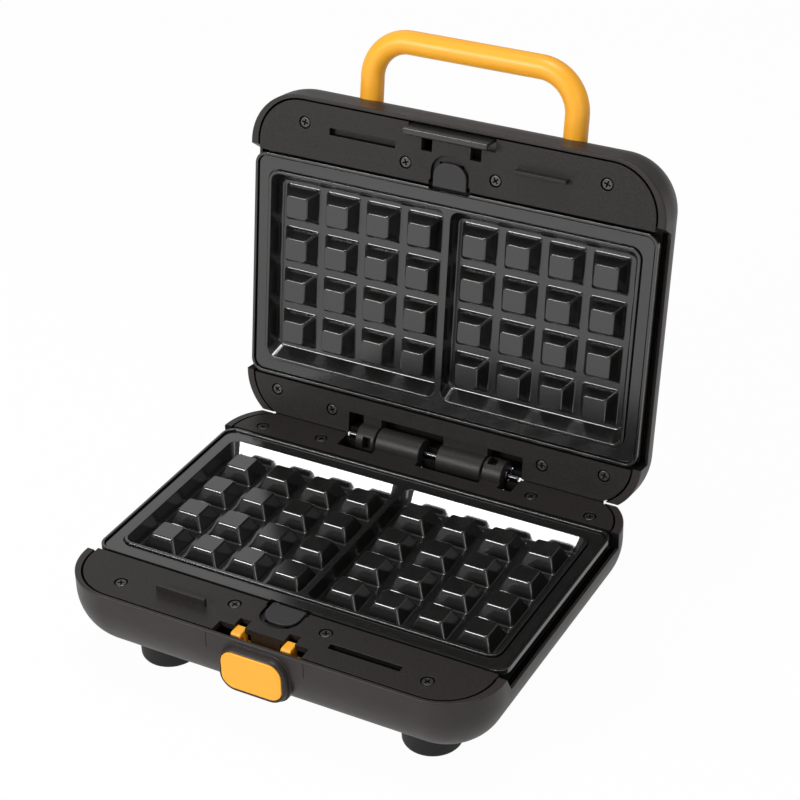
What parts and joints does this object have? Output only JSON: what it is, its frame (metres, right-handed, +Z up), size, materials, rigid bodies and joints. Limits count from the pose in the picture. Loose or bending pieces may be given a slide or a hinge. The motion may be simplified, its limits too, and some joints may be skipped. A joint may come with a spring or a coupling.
{
  "type": "sandwich and waffle maker",
  "caption": "Open hinged waffle and sandwich maker: dark moulded halves, lift-out waffle plates, looped carry handle, sprung front latch and round feet.",
  "frame": {"origin": "middle of the underside of the opened appliance's bounding box, on the table", "axes": "+X to the right seen from the latch, +Y from the latch towards the hinge, +Z up"},
  "size_m": [0.2322, 0.2454, 0.2678],
  "materials": {
    "shell_plastic": "fine satin moulded warm dark grey plastic",
    "frame_plastic": "fine matte moulded dark grey plastic",
    "nonstick_aluminium": "die-cast aluminium with dark non-stick coating",
    "orange_plastic": "satin yellow-orange plastic",
    "element_steel": "heat-dulled steel sheath",
    "reflector_aluminium": "bright pressed sheet",
    "spring_steel": "bright drawn steel",
    "screw_steel": "blackened steel",
    "pin_steel": "bright steel",
    "foot_rubber": "matte dark rubber",
    "gland_plastic": "matte black plastic",
    "terminal_plastic": "cream moulded plastic",
    "red_lens": "clear red lens",
    "green_lens": "clear green lens"
  },
  "bodies": {
    "base": {"base_shell": "shell_plastic", "base_inner_frame": "frame_plastic", "base_heating_element": "element_steel", "base_heat_reflector": "reflector_aluminium", "base_release_spring": "spring_steel", "base_frame_screw_1": "screw_steel", "base_frame_screw_2": "screw_steel", "base_frame_screw_3": "screw_steel", "base_frame_screw_4": "screw_steel", "base_frame_screw_5": "screw_steel", "base_frame_screw_6": "screw_steel", "base_frame_screw_7": "screw_steel", "base_frame_screw_8": "screw_steel", "foot_front_left": "foot_rubber", "foot_front_right": "foot_rubber", "foot_rear_left": "foot_rubber", "foot_rear_right": "foot_rubber", "thermostat": "spring_steel", "terminal_block": "terminal_plastic", "cord_gland": "gland_plastic", "hinge_pin": "pin_steel", "hinge_clip_left": "pin_steel", "hinge_clip_right": "pin_steel", "latch_spring_left": "spring_steel", "latch_spring_right": "spring_steel"},
    "lid": {"lid_shell": "shell_plastic", "lid_inner_frame": "frame_plastic", "lid_heating_element": "element_steel", "lid_heat_reflector": "reflector_aluminium", "lid_release_spring": "spring_steel", "lid_frame_screw_1": "screw_steel", "lid_frame_screw_2": "screw_steel", "lid_frame_screw_3": "screw_steel", "lid_frame_screw_4": "screw_steel", "lid_frame_screw_5": "screw_steel", "lid_frame_screw_6": "screw_steel", "lid_frame_screw_7": "screw_steel", "lid_frame_screw_8": "screw_steel", "thermal_fuse": "spring_steel", "latch_strike": "frame_plastic", "handle": "orange_plastic", "handle_screw_left": "screw_steel", "handle_screw_right": "screw_steel", "power_lamp": "red_lens", "ready_lamp": "green_lens"},
    "latch": {"latch_hook_carriage": "orange_plastic", "latch_button": "orange_plastic"},
    "base_release": {"base_release_button": "frame_plastic"},
    "lid_release": {"lid_release_button": "frame_plastic"},
    "base_plate": {"base_waffle_plate": "nonstick_aluminium"},
    "lid_plate": {"lid_waffle_plate": "nonstick_aluminium"}
  },
  "joints": [
    {"name": "lid_hinge", "type": "hinge", "parent": "base", "child": "lid", "pos_m": [0, 0.06231, 0.0551], "axis": [-1, 0, 0], "range_deg": [-98.2, 0]},
    {"name": "latch_press", "type": "slide", "parent": "base", "child": "latch", "axis": [0, 1, 0], "range_m": [0, 0.003], "stiffness_N_per_m": 800, "springref_m": -0.002, "deforming": ["latch_spring_left", "latch_spring_right"]},
    {"name": "base_release_press", "type": "slide", "parent": "base", "child": "base_release", "axis": [0, -1, 0], "range_m": [0, 0.003], "stiffness_N_per_m": 500, "springref_m": -0.002, "deforming": ["base_release_spring"]},
    {"name": "lid_release_press", "type": "slide", "parent": "lid", "child": "lid_release", "axis": [0, 0.1426, 0.9898], "range_m": [0, 0.003], "stiffness_N_per_m": 500, "springref_m": -0.002, "deforming": ["lid_release_spring"]},
    {"name": "base_plate_lift", "type": "slide", "parent": "base", "child": "base_plate", "axis": [0, 0, 1], "range_m": [0, 0.02]},
    {"name": "lid_plate_lift", "type": "slide", "parent": "lid", "child": "lid_plate", "axis": [0, -0.9898, 0.1426], "range_m": [0, 0.02]}
  ]
}
